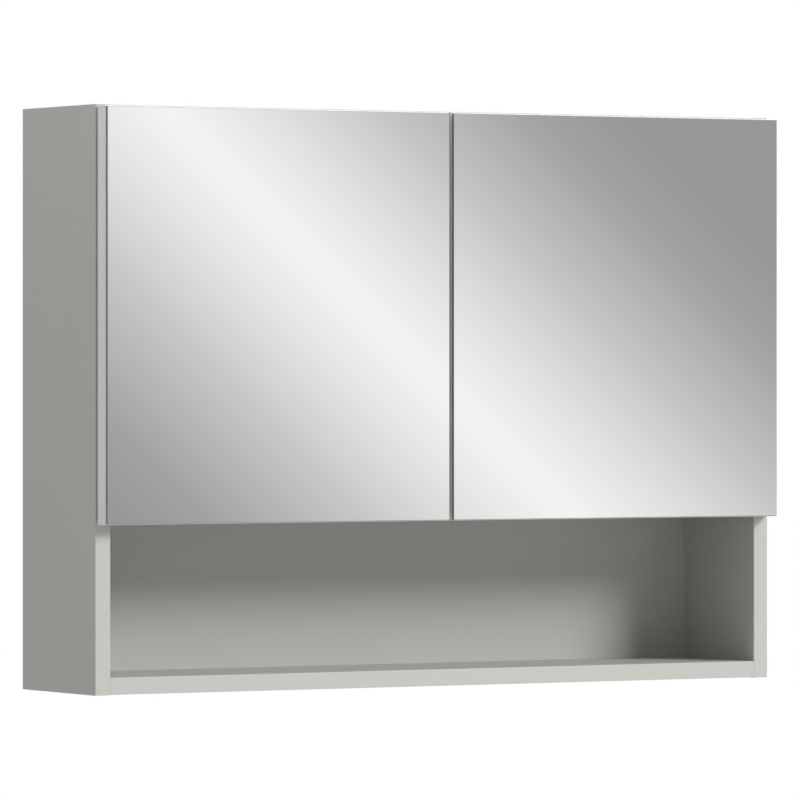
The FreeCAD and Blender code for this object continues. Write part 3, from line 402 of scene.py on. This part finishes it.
def dress_metal():
    nickel = ["hinge_plate_screws", "hinge_adjusting_screws", "hinge_arm_pins", "shelf_supports"]
    for piece in ("hinge_plate", "hinge_arm", "inner_link", "outer_link"):
        for hinge in ("lower", "upper"):
            nickel += both(f"{hinge}_{piece}")
    nickel += both("hinge_cups") + both("cup_screws") + both("cup_pins")
    give(metal_material("nickel", NICKEL, NICKEL_ROUGH, NICKEL_LINES), *nickel)
    zinc = both("hanger_hook") + both("wall_plate")
    zinc += ["hanger_adjusting_screws", "hanger_fixing_screws", "cam_bolts"]
    give(metal_material("zinc_plated", ZINC, ZINC_ROUGH, ZINC_LINES, 0.08), *zinc)
    give(metal_material("zinc_cam", ZINC_CAST, CAST_ROUGH, CAST_LINES, 0.1), "cam_discs")


# ---------------------------------------------------------------- wood and plastic
def dress_dowels():
    """Beech with its grain along X and short dark flecks."""
    made, tree, shader = material("beech", Specular_IOR_Level=0.3)
    grain = streaks(tree, BEECH_GRAIN, detail=5.0, roughness=0.65)
    fleck = streaks(tree, BEECH_FLECKS, detail=2.0, roughness=0.5)
    tone = mix(tree, grain, BEECH_LIGHT, BEECH_DARK)
    tone = mix(tree, ramp(tree, fleck, 0.0, 0.5, 0.62, 0.7), tone, BEECH_DARK)
    drive(
        tree,
        shader,
        Base_Color=tone,
        Roughness=ramp(tree, grain, *BEECH_ROUGH),
        Normal=bump(tree, grain, *BEECH_RELIEF),
    )
    give(made, "wood_dowels")


def plastic_material(name, base, rough, spark_scale, subsurface=0.0):
    """Moulded plastic with a spark-eroded grain."""
    made, tree, shader = material(
        name, Specular_IOR_Level=0.45, Subsurface_Weight=subsurface, Subsurface_Scale=2 * MM
    )
    spark = noise(tree, spark_scale)
    smoothest, roughest = rough - PLASTIC_ROUGH_SPREAD, rough + PLASTIC_ROUGH_SPREAD
    drive(
        tree,
        shader,
        Base_Color=mix(tree, spark, shade(base, 0.95), base),
        Roughness=ramp(tree, spark, smoothest, roughest),
        Normal=bump(tree, spark, *PLASTIC_RELIEF),
    )
    return made


def dress_plastic():
    give(plastic_material("cap_film", MELAMINE, 0.42, CAP_SPARK_SCALE), "cam_cover_caps")
    housing = plastic_material("housing", HOUSING_WHITE, 0.48, HOUSING_SPARK_SCALE)
    give(housing, *both("hanger_housing"))
    silicone = plastic_material("silicone", SILICONE, 0.3, SILICONE_SPARK_SCALE, subsurface=0.4)
    give(silicone, *both("door_bumpers"))


# ---------------------------------------------------------------- studio
CAMERA_TURN = math.radians(30.024)
CAMERA_DISTANCE = 6.510
AIM = Vector((-0.0574, MIRROR_FRONT, LOW.z + 0.3128))
LENS = 306.2
SENSOR_WIDTH = 36.0
NEAREST, FARTHEST = 0.5, 60.0
HORIZON_ABOVE_CENTRE = 0.0479
WORLD_STRENGTH = 0.423
WORLD_TILT = 0.25
LIGHTS = (  # name, place, size across and along, power
    ("key", (7.6, -10.2, 6.08), (6.4, 4.8), 2225.0),
    ("side", (-1.1, -0.3, 0.9), (0.5, 0.5), 4.3),
    ("top", (0.0, -0.2, 1.3), (0.8, 0.8), 16.0),
)
BAND_SPACING = 0.14
BAND_HALF_WIDTH = 0.047
BAND_SHIFT = 0.0017
REFLECTED_BAND = ((0.0, 1.0), (0.11, 0.92), (0.22, 0.84), (0.5, 0.6), (0.8, 0.4), (1.0, 0.345))
OVERHEAD = 3.4  # how much brighter the bands are overhead
OVERHEAD_FROM, OVERHEAD_FULL = 0.55, 0.85  # the steepness at which that starts and is full
FLOOR_DROP = 1.0
FLOOR_RADIUS = 12.0
FLOOR_FADE_FROM = 0.45 * FLOOR_RADIUS
FLOOR_CORNERS = 96


def make_camera():
    """A long lens, level, seeing the cabinet from its left. The horizon lies above the centre."""
    data = bpy.data.cameras.new("camera")
    data.sensor_width = SENSOR_WIDTH
    data.lens = LENS
    data.shift_y = -HORIZON_ABOVE_CENTRE
    data.clip_start, data.clip_end = NEAREST, FARTHEST
    camera = bpy.data.objects.new("camera", data)
    towards = Vector((math.sin(CAMERA_TURN), math.cos(CAMERA_TURN), 0.0))
    camera.location = AIM - towards * CAMERA_DISTANCE
    camera.rotation_euler = (math.radians(90), 0.0, -CAMERA_TURN)
    bpy.context.scene.collection.objects.link(camera)
    bpy.context.scene.camera = camera


def reflected_bands(tree, direction):
    """The soft diagonal bands that run across the studio's walls, for the mirrors to see."""
    diagonal = Vector((math.cos(CAMERA_TURN), math.sin(CAMERA_TURN), 1.0)).normalized()
    inputs = {0: direction, 1: diagonal}
    along = add(tree, "ShaderNodeVectorMath", inputs, operation="DOT_PRODUCT").outputs["Value"]
    shifted = maths(tree, "SUBTRACT", along, BAND_SHIFT)
    from_band = maths(tree, "PINGPONG", shifted, BAND_SPACING / 2)
    band = add(tree, "ShaderNodeValToRGB", {0: ramp(tree, from_band, 0.0, 1.0, 0.0, BAND_HALF_WIDTH)})
    stops = band.color_ramp.elements
    for index, (place, level) in enumerate(REFLECTED_BAND):
        stop = stops[index] if index < len(stops) else stops.new(place)
        stop.position = place
        stop.color = colour((level, level, level))
    return band.outputs[0]


def make_world():
    """White for the camera, soft bands for reflections, and a fill light stronger from the left."""
    world = bpy.data.worlds.new("studio")
    bpy.context.scene.world = world
    world.use_nodes = True
    tree = world.node_tree
    tree.nodes.clear()
    direction = add(tree, "ShaderNodeTexCoord").outputs["Generated"]
    right, _, up = add(tree, "ShaderNodeSeparateXYZ", {0: direction}).outputs
    overhead = ramp(tree, up, 1.0, OVERHEAD, OVERHEAD_FROM, OVERHEAD_FULL)
    least, most = WORLD_STRENGTH * (1 - WORLD_TILT), WORLD_STRENGTH * (1 + WORLD_TILT)
    fill = ramp(tree, right, most, least, -1.0, 1.0)
    seen, reflected, lit = (
        add(tree, "ShaderNodeBackground", {0: tone, 1: strength}).outputs[0]
        for tone, strength in (
            (colour(WHITE), 1.0),
            (reflected_bands(tree, direction), overhead),
            (colour(WHITE), fill),
        )
    )
    path = add(tree, "ShaderNodeLightPath").outputs
    glossy, camera = path["Is Glossy Ray"], path["Is Camera Ray"]
    shown = add(tree, "ShaderNodeMixShader", {0: glossy, 1: lit, 2: reflected}).outputs[0]
    shown = add(tree, "ShaderNodeMixShader", {0: camera, 1: shown, 2: seen}).outputs[0]
    add(tree, "ShaderNodeOutputWorld", {0: shown})


def make_light(name, place, size, power):
    """An oval soft light that shines at the cabinet's middle."""
    data = bpy.data.lights.new(name, "AREA")
    data.shape = "ELLIPSE"
    data.size, data.size_y = size
    data.energy = power
    light = bpy.data.objects.new(name, data)
    light.location = place
    away = Vector(place) - (LOW + HIGH) / 2
    light.rotation_euler = away.to_track_quat("Z", "Y").to_euler()
    light.visible_camera = False
    light.visible_glossy = False
    bpy.context.scene.collection.objects.link(light)


def make_floor():
    """A pale round floor well below the cabinet, which fades out towards its rim."""
    bpy.ops.mesh.primitive_circle_add(
        vertices=FLOOR_CORNERS,
        radius=FLOOR_RADIUS,
        fill_type="NGON",
        location=(0, 0, LOW.z - FLOOR_DROP),
    )
    floor = bpy.context.object
    floor.name = "floor"
    made, tree, shader = material("floor", Roughness=0.75, Specular_IOR_Level=0.2)
    tone = mix(tree, noise(tree, FLOOR_SCALE, roughness=0.5), shade(FLOOR, 0.985), FLOOR)
    inputs = {0: place_of(tree)}
    radius = add(tree, "ShaderNodeVectorMath", inputs, operation="LENGTH").outputs["Value"]
    fade = ramp(tree, radius, 1.0, 0.0, FLOOR_FADE_FROM, FLOOR_RADIUS)
    drive(tree, shader, Base_Color=tone, Alpha=fade)
    floor.data.materials.append(made)


def set_view():
    view = bpy.context.scene.view_settings
    view.view_transform = "Standard"
    view.look = "None"


dress_boards()
dress_back_panel()
dress_bands()
dress_mirrors()
dress_shelves()
dress_metal()
dress_dowels()
dress_plastic()
make_camera()
make_world()
for light in LIGHTS:
    make_light(*light)
make_floor()
set_view()
